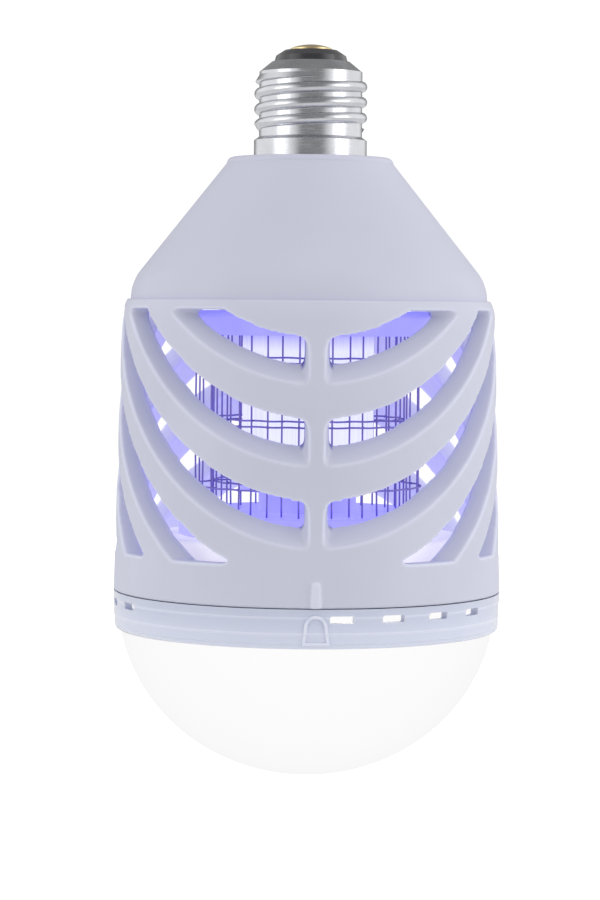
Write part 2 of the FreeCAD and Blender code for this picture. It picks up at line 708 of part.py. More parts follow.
def grid(radius, angles, hoops_z, hoop_side):
    """Basket of upright rods welded to level hoops, which lie outside or inside the rods."""
    rods = cylinders(ROD_R, BASE_PLATE_TOP_Z - ROD_SEAT, PLATE_DECK_Z + ROD_SEAT, radius, angles)
    hoop_r = radius + hoop_side * ROD_R * 1.5
    hoops = [Part.makeTorus(hoop_r, ROD_R, vec(0, 0, z), UP) for z in hoops_z]
    return fuse_all(hoops + rods)


def column_tube():
    """Clear tube with fine upright ribs round its outside."""
    angles = [index * 360 / TUBE_RIBS for index in range(TUBE_RIBS)]
    ribs = cylinders(TUBE_RIB_R, HUB_TOP_Z, PLATE_DECK_Z, TUBE_R - 0.1, angles)
    body = fuse_all([cylinder(TUBE_R, HUB_TOP_Z, PLATE_DECK_Z)] + ribs)
    return cut_all(body, [cylinder(TUBE_R - TUBE_WALL, HUB_TOP_Z - 1, PLATE_DECK_Z + 1)])


def column_core():
    """Square aluminium tube that carries the violet lamp boards and the leads."""
    bore = 2 * (CORE_HALF - CORE_WALL)
    outer = box(2 * CORE_HALF, 2 * CORE_HALF, HUB_TOP_Z, CORE_TOP_Z)
    return outer.cut(box(bore, bore, HUB_TOP_Z - 1, CORE_TOP_Z + 1))


def uv_boards():
    y = -(CORE_HALF + UV_BOARD_THICK / 2)
    board = box(11.0, UV_BOARD_THICK, HUB_TOP_Z + 1, CORE_TOP_Z - 0.5, 0, y)
    return [turned(board, 90 * face) for face in range(4)]


def uv_leds():
    y = -(CORE_HALF + UV_BOARD_THICK + LED_THICK / 2)
    span = CORE_TOP_Z - HUB_TOP_Z
    leds = []
    for face in range(4):
        for row in range(UV_LED_ROWS):
            z = HUB_TOP_Z + span * (row + 0.5) / UV_LED_ROWS
            led = box(LED_WIDTH, LED_THICK, z - LED_LENGTH / 2, z + LED_LENGTH / 2, 0, y)
            leds.append(turned(led, 90 * face))
    return leds


def grid_base_plate():
    """Plate under the grids, with a capped hub that carries the column."""
    edge = 0.6
    hub_edge = 0.8
    cap_z = HUB_TOP_Z - HUB_CAP
    body = revolve(
        [line((0, HUB_TOP_Z), (HUB_R - hub_edge, HUB_TOP_Z)),
         round_corner((HUB_R - hub_edge, HUB_TOP_Z - hub_edge), hub_edge, 90, 0)]
        + chain((HUB_R, HUB_TOP_Z - hub_edge), (HUB_R, cap_z), (HUB_NECK_R, cap_z),
                (HUB_NECK_R, BASE_PLATE_TOP_Z), (PLATE_R - edge, BASE_PLATE_TOP_Z))
        + [round_corner((PLATE_R - edge, BASE_PLATE_TOP_Z - edge), edge, 90, 0)]
        + chain((PLATE_R, BASE_PLATE_TOP_Z - edge), (PLATE_R, BASE_PLATE_BASE_Z), (0, BASE_PLATE_BASE_Z),
                (0, HUB_TOP_Z)))
    spigot_r = TUBE_R - TUBE_WALL - GAP
    spigot = tube(spigot_r, spigot_r - 1.4, HUB_TOP_Z - 0.5, HUB_TOP_Z + 1.2)
    cutters = basket_seats(BASE_PLATE_TOP_Z - ROD_SEAT, BASE_PLATE_TOP_Z + 1)
    cutters += cylinders(SMALL_SCREW + SNUG, BASE_PLATE_BASE_Z - 1, BASE_PLATE_BASE_Z + 5,
                         CARRIER_SCREW_R, CORE_SCREW_ANGLES)
    cutters.append(cylinder(LEAD_HOLE_R, BASE_PLATE_BASE_Z - 1, HUB_TOP_Z + 1))
    return cut_all(fuse_all([body, spigot]), cutters)


# ---------------------------------------------------------------- white lamp
def lamp_carrier():
    """Translucent cup under the base plate; its flange is caught in the lock ring."""
    top = BASE_PLATE_BASE_Z
    wall = CARRIER_WALL
    foot_z = CARRIER_FLANGE_Z - CARRIER_FLANGE
    edge = 1.5
    side_r = CARRIER_R + 1.0
    body = revolve(
        [line((0, top), (CARRIER_R - edge, top)),
         round_corner((CARRIER_R - edge, top - edge), edge, 90, 0)]
        + chain((CARRIER_R, top - edge), (side_r, CARRIER_FLANGE_Z), (CARRIER_FLANGE_R, CARRIER_FLANGE_Z),
                (CARRIER_FLANGE_R, foot_z), (side_r - wall, foot_z), (CARRIER_R - wall, top - wall),
                (0, top - wall), (0, top)))
    posts = cylinders(2.8, LAMP_BOARD_TOP_Z, top - wall / 2, LAMP_SCREW_R, CORE_SCREW_ANGLES)
    cutters = cylinders(SMALL_SCREW + SNUG, LAMP_BOARD_TOP_Z - 1, top - wall, LAMP_SCREW_R, CORE_SCREW_ANGLES)
    cutters += cylinders(SMALL_SCREW + 0.2, top - wall - 1, top + 1, CARRIER_SCREW_R, CORE_SCREW_ANGLES)
    cutters.append(cylinder(LEAD_HOLE_R, top - wall - 1, top + 1))
    return cut_all(fuse_all([body] + posts), cutters)


def lamp_board():
    low = LAMP_BOARD_TOP_Z - LAMP_BOARD_THICK
    board = cylinder(LAMP_BOARD_R, low, LAMP_BOARD_TOP_Z)
    return cut_all(board, cylinders(SMALL_SCREW + 0.2, low - 1, LAMP_BOARD_TOP_Z + 1,
                                    LAMP_SCREW_R, CORE_SCREW_ANGLES))


def white_leds():
    """Two rings of lamp chips under the board."""
    high = LAMP_BOARD_TOP_Z - LAMP_BOARD_THICK
    leds = []
    for circle_r, count in ((10.0, 8), (20.0, 16)):
        for index in range(count):
            led = box(LED_WIDTH, LED_LENGTH, high - LED_THICK, high, 0, -circle_r)
            leds.append(turned(led, (index + 0.5) * 360 / count))
    return leds


def lamp_leads():
    """Two leads from the low-voltage pins down the column to the lamp board."""
    leads = []
    for angle in (135, 315):
        stops = [(PIN_CIRCLE_R, PIN_LOW_Z), (3.4, -47), (2.4, -60), (2.4, -76), (2.5, -88.5), (4.6, -91.8),
                 (6.2, LAMP_BOARD_TOP_Z)]
        leads.append(lead(0.6, [polar(radius, angle, z) for radius, z in stops]))
    return leads


# ---------------------------------------------------------------- lock ring and dome
def ring_foot_r():
    """Outer radius of the lock ring below its last step."""
    return RING_R - len(RING_STEPS_Z) * RING_STEP


def ring_outside(grow):
    """Outer outline of the lock ring from top to bottom, stepped in, and grown outwards by grow."""
    points = [(RING_R + grow, RING_TOP_Z)]
    for z in RING_STEPS_Z:
        r = points[-1][0]
        points += [(r, z), (r - RING_STEP, z - RING_STEP)]
    foot_r = ring_foot_r() + grow
    bend_top = (foot_r, RING_BASE_Z + 0.7)
    return chain(*points, bend_top) + [arc(bend_top, (foot_r - 0.25, RING_BASE_Z + 0.2), (foot_r - 0.9, RING_BASE_Z))]


def padlock_plate(inset):
    """Padlock shape seen from the front, narrowing upwards into a round arch, shrunk by inset."""
    half = PADLOCK_WIDTH / 2 - inset
    arch_r = PADLOCK_ARCH_R - inset
    arch_z = PADLOCK_TOP_Z - PADLOCK_ARCH_R
    low = PADLOCK_BASE_Z + inset
    outline = chain((arch_r, arch_z), (half, low), (-half, low), (-arch_r, arch_z))
    outline.append(arc((-arch_r, arch_z), (0, arch_z + arch_r), (arch_r, arch_z)))
    plate = Part.Face(Part.Wire(outline)).extrude(vec(0, 4, 0))
    plate.translate(vec(0, -RING_R - 2, 0))
    return plate


def padlock_relief():
    """Raised padlock outline that stands proud of the ring's face."""
    inner_r = RING_BORE_R + 1.0
    face = revolve(ring_outside(RELIEF) + chain((ring_foot_r() + RELIEF - 0.9, RING_BASE_Z), (inner_r, RING_BASE_Z),
                                                (inner_r, RING_TOP_Z), (RING_R + RELIEF, RING_TOP_Z)))
    return padlock_plate(0).cut(padlock_plate(PADLOCK_LINE)).common(face)


def ring_windows():
    """Groups of small windows with rounded corners through the ring's face."""
    windows = []
    window = box(WINDOW_WIDTH, 6.0, WINDOW_Z - WINDOW_HEIGHT / 2, WINDOW_Z + WINDOW_HEIGHT / 2, 0, -RING_R)
    window = window.makeFillet(WINDOW_ROUND, [edge for edge in window.Edges if edge.BoundBox.YLength > 5])
    for group in range(WINDOW_GROUPS):
        for index in range(WINDOWS_PER_GROUP):
            angle = group * 360 / WINDOW_GROUPS + WINDOW_FIRST + index * WINDOW_PITCH
            windows.append(turned(window, angle))
    return windows


def lock_ring():
    """Ring with a collar inside the cage, three lugs, and an inner ledge with snap beads."""
    web_base = RING_TOP_Z - RING_WEB
    ledge_top = CARRIER_FLANGE_Z - CARRIER_FLANGE - 0.1
    ledge_base = ledge_top - 1.2
    seat_r = DOME_R + 0.05
    lip_r = DOME_R - 0.52
    body = revolve(
        chain((COLLAR_BORE_R, LUG_TOP_Z), (COLLAR_R, LUG_TOP_Z), (COLLAR_R, RING_TOP_Z), (RING_R, RING_TOP_Z))
        + ring_outside(0)
        + chain((ring_foot_r() - 0.9, RING_BASE_Z), (lip_r, RING_BASE_Z), (seat_r, RING_BASE_Z + 3.1),
                (seat_r, DOME_RIM_Z), (RING_BORE_R, DOME_RIM_Z), (RING_BORE_R, web_base),
                (COLLAR_BORE_R, web_base), (COLLAR_BORE_R, ledge_base), (LEDGE_R, ledge_base),
                (LEDGE_R, ledge_top), (COLLAR_BORE_R, ledge_top), (COLLAR_BORE_R, LUG_TOP_Z)))
    lugs = [sector(LUG_R, COLLAR_R - 0.5, LUG_TOP_Z - LUG_HEIGHT, LUG_TOP_Z, angle, LUG_ANGLE)
            for angle in LUG_ANGLES]
    bead_z = CARRIER_FLANGE_Z + 0.2
    beads = [sector(COLLAR_BORE_R + 0.3, CARRIER_FLANGE_R - 0.3, bead_z, bead_z + 0.8, angle, 12)
             for angle in (0, 120, 240)]
    return cut_all(fuse_all([body, padlock_relief()] + lugs + beads), ring_windows())


def ellipse_arc(radius, drop):
    """Profile of one dome surface from the rim to the pole, with its two end points."""
    rim_turn = math.asin((DOME_RIM_Z - DOME_CENTRE_Z) / drop)
    edge = Part.Ellipse(ORIGIN, radius, drop).toShape(-math.pi / 2, rim_turn)
    edge.rotate(ORIGIN, vec(1, 0, 0), 90)
    edge.translate(vec(0, 0, DOME_CENTRE_Z))
    rim = (radius * math.cos(rim_turn), DOME_RIM_Z)
    pole = (0, DOME_CENTRE_Z - drop)
    return edge, rim, pole


def diffuser_dome():
    outer, outer_rim, outer_pole = ellipse_arc(DOME_R, DOME_DROP)
    inner, inner_rim, inner_pole = ellipse_arc(DOME_R - DOME_WALL, DOME_DROP - DOME_WALL)
    return revolve([outer, line(outer_rim, inner_rim), inner, line(inner_pole, outer_pole)])


# ---------------------------------------------------------------- build every node
save("screw_shell", screw_shell())
save("base_insulator", base_insulator())
save("centre_contact", centre_contact())
save("live_wire", live_wire())
save("neutral_wire", neutral_wire())
save("upper_housing", upper_housing())
save("cage", cage())
save("cage_screws", screws(LARGE_SCREW, CAGE_TOP_Z - CAGE_FLOOR, 8, CAGE_SCREW_R, CAGE_SCREW_ANGLES))
save("driver_board", driver_board())
save("board_screws", screws(SMALL_SCREW, BOARD_BASE_Z, 7, BOARD_SCREW_R, BOARD_SCREW_ANGLES))
save("bulk_capacitor", bulk_capacitor())
save("film_capacitors", film_capacitors())
save("transformer_core", transformer_core())
save("transformer_winding", transformer_winding())
save("bridge_rectifier", bridge_rectifier())
save("fuse_resistor", fuse_resistor())
save("multiplier_diodes", multiplier_diodes())
save("multiplier_capacitors", multiplier_capacitors())
save("driver_chip", driver_chip())
save("socket_body", socket_body())
save("socket_contacts", socket_contacts())
save("plug_pins", plug_pins())
save("grid_top_plate", grid_top_plate())
save("grid_leads", grid_leads())
save("outer_grid", grid(OUTER_GRID_R, rod_angles(OUTER_RODS, OUTER_FIRST), OUTER_HOOPS_Z, 1))
save("inner_grid", grid(INNER_GRID_R, rod_angles(INNER_RODS, INNER_FIRST), INNER_HOOPS_Z, -1))
save("column_tube", column_tube())
save("column_core", column_core())
save("uv_boards", uv_boards())
save("uv_leds", uv_leds())
save("grid_base_plate", grid_base_plate())
save("lamp_carrier", lamp_carrier())
save("carrier_screws", screws(SMALL_SCREW, BASE_PLATE_BASE_Z - CARRIER_WALL, 6, CARRIER_SCREW_R,
                              CORE_SCREW_ANGLES))
save("lamp_board", lamp_board())
save("white_leds", white_leds())
save("lamp_leads", lamp_leads())
save("lamp_screws", screws(SMALL_SCREW, LAMP_BOARD_TOP_Z - LAMP_BOARD_THICK, 6, LAMP_SCREW_R,
                           CORE_SCREW_ANGLES))
save("lock_ring", lock_ring())
save("diffuser_dome", diffuser_dome())
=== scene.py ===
import json
import math
import random

import bpy
import numpy as np
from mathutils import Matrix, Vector

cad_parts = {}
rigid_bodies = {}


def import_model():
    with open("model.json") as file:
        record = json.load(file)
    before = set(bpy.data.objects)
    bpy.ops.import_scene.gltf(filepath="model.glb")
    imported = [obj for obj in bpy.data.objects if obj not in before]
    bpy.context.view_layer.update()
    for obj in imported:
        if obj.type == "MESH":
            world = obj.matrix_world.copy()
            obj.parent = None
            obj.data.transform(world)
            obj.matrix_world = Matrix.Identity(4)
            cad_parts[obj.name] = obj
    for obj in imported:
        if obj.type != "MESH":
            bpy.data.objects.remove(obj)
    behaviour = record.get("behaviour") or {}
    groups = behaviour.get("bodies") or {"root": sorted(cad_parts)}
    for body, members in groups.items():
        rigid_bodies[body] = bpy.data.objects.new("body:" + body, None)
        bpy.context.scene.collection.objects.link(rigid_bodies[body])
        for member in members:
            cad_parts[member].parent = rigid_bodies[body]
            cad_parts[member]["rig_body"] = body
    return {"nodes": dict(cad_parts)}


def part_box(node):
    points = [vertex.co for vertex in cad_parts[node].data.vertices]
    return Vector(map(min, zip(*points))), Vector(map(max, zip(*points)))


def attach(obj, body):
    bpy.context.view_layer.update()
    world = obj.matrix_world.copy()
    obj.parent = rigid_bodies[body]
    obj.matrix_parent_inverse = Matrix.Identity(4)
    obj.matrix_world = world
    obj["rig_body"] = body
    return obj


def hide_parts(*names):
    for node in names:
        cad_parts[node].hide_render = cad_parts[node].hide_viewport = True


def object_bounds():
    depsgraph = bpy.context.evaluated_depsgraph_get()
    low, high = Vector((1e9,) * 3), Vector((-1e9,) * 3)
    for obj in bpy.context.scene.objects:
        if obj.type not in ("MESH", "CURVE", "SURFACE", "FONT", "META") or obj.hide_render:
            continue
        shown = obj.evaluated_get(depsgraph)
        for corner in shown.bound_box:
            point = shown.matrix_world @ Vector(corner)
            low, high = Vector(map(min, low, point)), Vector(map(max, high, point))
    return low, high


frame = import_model()
nodes = frame["nodes"]
cad_low, cad_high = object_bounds()

# Named lengths are in metres and named angles in degrees.
MM = 0.001

CAGE_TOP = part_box("upper_housing")[0].z
CAGE_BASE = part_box("cage")[0].z
CAGE_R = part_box("cage")[1].x
CAGE_VOXEL = 0.35 * MM
SLOT_TOP = CAGE_TOP - 2.2 * MM
SLOT_BASE = CAGE_BASE + 9.5 * MM

# The ring's painted highlight lines run along these steps.
RING_LINES = (6.8 * MM, 3.3 * MM)  # heights of the ring's steps above its base
RING_TAPER = 0.064  # how much the ring's wall widens per length upwards, a little more than its steps do

WIRE_R = 0.21 * MM
OUTER_RODS = 22
OUTER_FIRST = -6.9
OUTER_RODS_R = 26.0 * MM
INNER_RODS = 18
INNER_FIRST = 2.3
INNER_RODS_R = 22.5 * MM
HOOP_GAP = 0.4 * MM
HOOP_PITCH = 14.4 * MM
ROD_STEPS = 12
HOOP_STEPS = 96

GRAIN = 0.4 * MM
BLOTCH = 30 * MM
INNER_SCATTER = 2 * MM

VIEW_TURN = -2.7
VIEW_DISTANCE = 0.675
PICTURE_ROLL = -0.5

LAVENDER = (0.54, 0.55, 0.66)
VIOLET = (0.38, 0.36, 1.0)
# Colour of the painted violet glow that stands for the lamp's light on the cage's inside.
PAINTED_GLOW = (0.70, 0.66, 1.0)
# Colour of the painted shade on the slot ends beside the spines.
PAINTED_SHADE_VIOLET = (0.10, 0.09, 0.36)


# ---------------------------------------------------------------- shader helpers
def add(tree, kind, inputs=None, **settings):
    """New shader node; an input is either a value or another node's output."""
    node = tree.nodes.new("ShaderNode" + kind)
    for key, value in settings.items():
        setattr(node, key, value)
    for name, value in (inputs or {}).items():
        if isinstance(value, bpy.types.NodeSocket):
            tree.links.new(value, node.inputs[name])
        else:
            node.inputs[name].default_value = value
    return node


def material(name, build):
    """Material whose surface is the shader that build(tree, coords) returns; coords are metres."""
    made = bpy.data.materials.new(name)
    made.use_nodes = True
    tree = made.node_tree
    tree.nodes.clear()
    coords = add(tree, "TexCoord").outputs["Object"]
    output = add(tree, "OutputMaterial")
    tree.links.new(build(tree, coords), output.inputs["Surface"])
    return made


def rgb(colour, factor=1.0):
    return tuple(channel * factor for channel in colour) + (1.0,)


def compute(tree, operation, *values):
    """Result of one sum; a value is either a number or another node's output."""
    return add(tree, "Math", dict(enumerate(values)), operation=operation).outputs["Value"]


def remap(tree, value, low, high, to_low=0.0, to_high=1.0, curve="LINEAR"):
    """Value that goes from to_low to to_high as the given one goes from low to high, and no further."""
    return add(tree, "MapRange", {"Value": value, "From Min": low, "From Max": high, "To Min": to_low,
                                  "To Max": to_high}, interpolation_type=curve).outputs["Result"]


def height_of(tree, coords):
    return add(tree, "SeparateXYZ", {"Vector": coords}).outputs["Z"]


def noise(tree, coords, size, detail=2.0):
    """Noise whose blotches are about size metres across."""
    return add(tree, "TexNoise", {"Vector": coords, "Scale": 1 / size, "Detail": detail}).outputs["Fac"]


def spread(tree, fac, low, high):
    """Value that goes from low to high as the noise goes from its usual least to its usual most."""
    return remap(tree, fac, 0.3, 0.7, low, high)


def blend_colours(tree, fac, first, second):
    """Colour between the first (fac 0) and the second (fac 1); 6 and 7 are the node's colour inputs."""
    mix = add(tree, "Mix", data_type="RGBA")
    for socket, value in ((mix.inputs["Factor"], fac), (mix.inputs[6], first), (mix.inputs[7], second)):
        if isinstance(value, bpy.types.NodeSocket):
            tree.links.new(value, socket)
        else:
            socket.default_value = value
    return mix.outputs[2]


def bump(tree, height, depth):
    """Normal for a relief of depth metres."""
    return add(tree, "Bump", {"Height": height, "Strength": 1.0, "Distance": depth}).outputs["Normal"]


def principled(tree, **inputs):
    names = {key.replace("_", " ").title().replace("Ior", "IOR"): value for key, value in inputs.items()}
    return add(tree, "BsdfPrincipled", names).outputs["BSDF"]


# ---------------------------------------------------------------- plastics
def moulded(name, colour, roughness=0.42, soft=0.0, coat=0.0):
    """Moulded plastic: broad uneven shade, fine spark-eroded grain and some light inside."""
    def build(tree, coords):
        blotch = noise(tree, coords, BLOTCH)
        fine = noise(tree, coords, GRAIN, 3.0)
        shade = blend_colours(tree, spread(tree, blotch, 0, 1), rgb(colour, 0.975), rgb(colour, 1.02))
        return principled(
            tree, base_color=shade, roughness=spread(tree, fine, roughness - 0.05, roughness + 0.07),
            subsurface_weight=soft, subsurface_radius=(1.0, 1.0, 1.15), subsurface_scale=INNER_SCATTER,
            coat_weight=coat, coat_roughness=0.12, normal=bump(tree, fine, 0.006 * MM))
    return material(name, build)


def cage_plastic(name, colour):
    """Moulded plastic, lighter with a painted highlight where "edge" is painted, darker with painted dark
    violet shade where the shade mask is painted, and with a painted violet glow where "inside" is and on the
    side that is far from the viewer."""
    def build(tree, coords):
        fine = noise(tree, coords, GRAIN, 3.0)
        blotch = noise(tree, coords, BLOTCH)
        edge = add(tree, "Attribute", attribute_name="edge").outputs["Fac"]
        shade = blend_colours(tree, spread(tree, blotch, 0, 1), rgb(colour, 0.975), rgb(colour, 1.02))
        # Painted highlight: lighter on the rounded slot edges and on the raised mark.
        shade = blend_colours(tree, edge, shade, rgb(colour, 1.16))
        # Painted shade: dark violet on the inner slot ends beside the spines.
        painted_shade = add(tree, "Attribute", attribute_name="painted_shade").outputs["Fac"]
        shade = blend_colours(tree, painted_shade, shade, rgb(PAINTED_SHADE_VIOLET))
        # Painted violet glow, standing for the lamp's light, on inward-facing faces and on the far side.
        inside = add(tree, "Attribute", attribute_name="inside").outputs["Fac"]
        place = add(tree, "NewGeometry")
        ahead = add(tree, "VectorMath", {0: place.outputs["Position"], 1: place.outputs["Incoming"]},
                    operation="DOT_PRODUCT").outputs["Value"]
        far_side = remap(tree, ahead, -0.25 * CAGE_R, -0.6 * CAGE_R, 0.0, 0.8)
        glow = compute(tree, "MULTIPLY", compute(tree, "MAXIMUM", inside, far_side), 0.34)
        return principled(
            tree, base_color=shade, roughness=spread(tree, fine, 0.45, 0.57),
            subsurface_weight=0.15, subsurface_radius=(1.0, 1.0, 1.15), subsurface_scale=INNER_SCATTER,
            emission_color=rgb(PAINTED_GLOW), emission_strength=glow, normal=bump(tree, fine, 0.006 * MM))
    return material(name, build)


def ring_milk(name, upper_colour, lower_colour, painted_highlight):
    """Glossy milky plastic of the ring with painted light: lighter towards the lit dome, and painted
    highlights along the steps and on the padlock.
    """
    low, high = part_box("lock_ring")

    def build(tree, coords):
        fine = noise(tree, coords, GRAIN, 3.0)
        height = height_of(tree, coords)
        wavy = compute(tree, "MULTIPLY_ADD", noise(tree, coords, 12 * MM), 3 * MM, height)
        # Painted light: lighter towards the lit dome below the ring.
        near_dome = remap(tree, wavy, high.z, low.z)
        shade = blend_colours(tree, near_dome, rgb(upper_colour), rgb(lower_colour))
        # Painted highlight on the raised padlock relief.
        level = add(tree, "VectorMath", {0: coords, 1: (1, 1, 0)}, operation="MULTIPLY").outputs["Vector"]
        reach = add(tree, "VectorMath", {0: level}, operation="LENGTH").outputs["Value"]
        upright = compute(tree, "MULTIPLY_ADD", height, -RING_TAPER, reach)
        face = high.x - RING_TAPER * (low.z + RING_LINES[0])
        highlight_mask = remap(tree, upright, face + 0.12 * MM, face + 0.25 * MM)
        # Painted highlight lines along the ring's steps.
        for line in RING_LINES:
            away = compute(tree, "ABSOLUTE", compute(tree, "SUBTRACT", height, low.z + line))
            near_line = remap(tree, away, 0.45 * MM, 0.15 * MM, 0.0, 0.7)
            highlight_mask = compute(tree, "MAXIMUM", highlight_mask, near_line)
        shade = blend_colours(tree, highlight_mask, shade, rgb(painted_highlight))
        return principled(
            tree, base_color=shade, roughness=spread(tree, fine, 0.18, 0.26), subsurface_weight=0.35,
            subsurface_radius=(1.0, 1.0, 1.15), subsurface_scale=INNER_SCATTER, coat_weight=0.5,
            coat_roughness=0.08, normal=bump(tree, fine, 0.001 * MM))
    return material(name, build)


def opal(name, colour, strength, edge):
    """Lit diffuser: even glow that falls a little towards the outline."""
    def build(tree, coords):
        facing = add(tree, "LayerWeight", {"Blend": 0.35}).outputs["Facing"]
        cloud = noise(tree, coords, BLOTCH)
        glow = remap(tree, facing, 0.0, 1.0, strength, edge)
        shade = blend_colours(tree, spread(tree, cloud, 0, 1), rgb(colour, 0.995), rgb(colour, 1.0))
        fine = noise(tree, coords, GRAIN, 3.0)
        return principled(
            tree, base_color=(0.02, 0.02, 0.02, 1), roughness=0.5, specular_ior_level=0.0,
            emission_color=shade, emission_strength=glow, normal=bump(tree, fine, 0.004 * MM))
    return material(name, build)


def lamp_tube(name, seen_colour, light_colour, strength, top):
    """Lit tube that bleaches to near white in the picture and throws coloured light on what is round it."""
    def build(tree, coords):
        seen = add(tree, "LightPath").outputs["Is Camera Ray"]
        facing = add(tree, "LayerWeight", {"Blend": 0.5}).outputs["Facing"]
        cloud = noise(tree, coords, 8 * MM)
        centre = blend_colours(tree, spread(tree, cloud, 0, 1), rgb(seen_colour, 0.94), rgb(seen_colour))
        near_top = remap(tree, height_of(tree, coords), top - 4 * MM, top)
        tint = compute(tree, "MAXIMUM", compute(tree, "MULTIPLY", facing, 0.5), near_top)
        look = blend_colours(tree, tint, centre, rgb(light_colour))
        glow = blend_colours(tree, seen, rgb(light_colour, strength), look)
        fine = noise(tree, coords, GRAIN, 3.0)
        return principled(tree, base_color=rgb((0.1, 0.1, 0.12)), roughness=0.3, emission_color=glow,
                          emission_strength=1.0, normal=bump(tree, fine, 0.004 * MM))
    return material(name, build)


def lit_plastic(name, colour, glow_colour, glow):
    """Milky plastic with an uneven glow: the LEDs' own light, and painted light on the grid plates
    and the lamp carrier.
    """
    def build(tree, coords):
        blotch = noise(tree, coords, 12 * MM)
        fine = noise(tree, coords, GRAIN, 3.0)
        shade = blend_colours(tree, spread(tree, blotch, 0, 1), rgb(colour, 0.96), rgb(colour))
        return principled(
            tree, base_color=shade, roughness=spread(tree, fine, 0.31, 0.41),
            emission_color=rgb(glow_colour), emission_strength=spread(tree, blotch, glow * 0.85, glow * 1.1),
            normal=bump(tree, fine, 0.005 * MM))
    return material(name, build)


# ---------------------------------------------------------------- metals
def metal(name, colour, roughness):
    """Plated metal with fine level handling marks and a faint cloud of tarnish."""
    def build(tree, coords):
        squashed = add(tree, "Mapping", {"Vector": coords, "Scale": (1, 1, 9)}).outputs["Vector"]
        lines = noise(tree, squashed, 2.25 * MM, 4.0)
        cloud = noise(tree, coords, 6 * MM, 4.0)
        shade = blend_colours(tree, spread(tree, cloud, 0, 1), rgb(colour, 0.85), rgb(colour))
        return principled(
            tree, base_color=shade, metallic=1.0,
            roughness=spread(tree, lines, roughness - 0.06, roughness + 0.1),
            normal=bump(tree, lines, 0.002 * MM))
    return material(name, build)


def dress(node, finish):
    """Puts a finish on a CAD node."""
    slots = nodes[node].material_slots
    for slot in slots:
        slot.material = finish
    if not slots:
        nodes[node].data.materials.append(finish)


# ---------------------------------------------------------------- finishes
body_plastic = moulded("body_plastic", LAVENDER, roughness=0.5, soft=0.15)
slotted_plastic = cage_plastic("slotted_plastic", (0.555, 0.57, 0.675))
# Painted light: the upper colour is darker, the lower one is lit by the dome; the third colour is the
# painted highlight.
ring_plastic = ring_milk("ring_plastic", (0.50, 0.535, 0.67), (0.64, 0.67, 0.78), (0.70, 0.72, 0.84))
white_plastic = moulded("white_plastic", (0.72, 0.72, 0.76), roughness=0.4, soft=0.1)
# Plates: violet colour and glow are painted light from the violet lamp.
plate_plastic = lit_plastic("plate_plastic", (0.38, 0.36, 0.75), (0.32, 0.31, 1.0), 0.55)
# Lamp carrier: its glow is painted light from the lamps.
carrier_plastic = lit_plastic("carrier_plastic", (0.74, 0.73, 0.76), (1.0, 0.98, 0.97), 0.31)
dome_opal = opal("dome_opal", (1.0, 0.988, 0.992), 0.975, 0.91)
tube_glow = lamp_tube("tube_glow", (0.82, 0.84, 0.98), VIOLET, 0.9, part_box("grid_top_plate")[0].z)
led_violet = lit_plastic("led_violet", (0.7, 0.7, 0.9), VIOLET, 6.0)
led_white = lit_plastic("led_white", (0.9, 0.85, 0.6), (1.0, 0.95, 0.85), 2.0)
nickel = metal("nickel", (0.66, 0.67, 0.70), 0.2)
brass = metal("brass", (0.83, 0.66, 0.36), 0.3)
# Violet colour is painted light: the lamp's violet light on the steel wires.
violet_lit_steel = metal("violet_lit_steel", (0.30, 0.25, 0.60), 0.4)
zinc = metal("zinc", (0.70, 0.71, 0.72), 0.35)
glass_black = moulded("glass_black", (0.03, 0.03, 0.035), roughness=0.2, coat=0.3)
board_green = moulded("board_green", (0.06, 0.22, 0.11), roughness=0.35)
board_white = moulded("board_white", (0.75, 0.76, 0.76), roughness=0.35)
copper = metal("copper", (0.72, 0.36, 0.18), 0.3)
ferrite = moulded("ferrite", (0.07, 0.07, 0.075), roughness=0.6)
black_epoxy = moulded("black_epoxy", (0.025, 0.025, 0.03), roughness=0.4)
red_film = moulded("red_film", (0.35, 0.05, 0.03), roughness=0.25, coat=0.5)
blue_ceramic = moulded("blue_ceramic", (0.05, 0.16, 0.42), roughness=0.25, coat=0.4)
red_wire = moulded("red_wire", (0.45, 0.04, 0.03), roughness=0.4)
black_wire = moulded("black_wire", (0.03, 0.03, 0.03), roughness=0.4)

FINISHES = {
    body_plastic: ("upper_housing",),
    slotted_plastic: ("cage",),
    ring_plastic: ("lock_ring",),
    plate_plastic: ("grid_top_plate", "grid_base_plate"),
    carrier_plastic: ("lamp_carrier",),
    white_plastic: ("socket_body", "column_core"),
    dome_opal: ("diffuser_dome",),
    tube_glow: ("column_tube",),
    led_violet: ("uv_leds",),
    led_white: ("white_leds",),
    nickel: ("screw_shell",),
    brass: ("centre_contact", "plug_pins", "socket_contacts"),
    violet_lit_steel: ("outer_grid", "inner_grid", "grid_leads"),
    zinc: ("cage_screws", "board_screws", "carrier_screws", "lamp_screws"),
    glass_black: ("base_insulator",),
    board_green: ("driver_board",),
    board_white: ("lamp_board", "uv_boards"),
    copper: ("transformer_winding",),
    ferrite: ("transformer_core",),
    black_epoxy: ("bridge_rectifier", "multiplier_diodes", "driver_chip", "bulk_capacitor"),
    red_film: ("film_capacitors", "fuse_resistor"),
    blue_ceramic: ("multiplier_capacitors",),
    red_wire: ("live_wire", "lamp_leads"),
    black_wire: ("neutral_wire",),
}
for finish, members in FINISHES.items():
    for member in members:
        dress(member, finish)


# ---------------------------------------------------------------- pieces built over CAD nodes
def link(obj):
    bpy.context.scene.collection.objects.link(obj)
    return obj


def new_piece(name, mesh, finish, node):
    """Smooth-shaded piece that stands for a CAD node and rides on the node's body."""
    mesh.materials.clear()
    mesh.materials.append(finish)
    mesh.shade_smooth()
    made = link(bpy.data.objects.new(name, mesh))
    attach(made, nodes[node]["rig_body"])
    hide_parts(node)
    return made


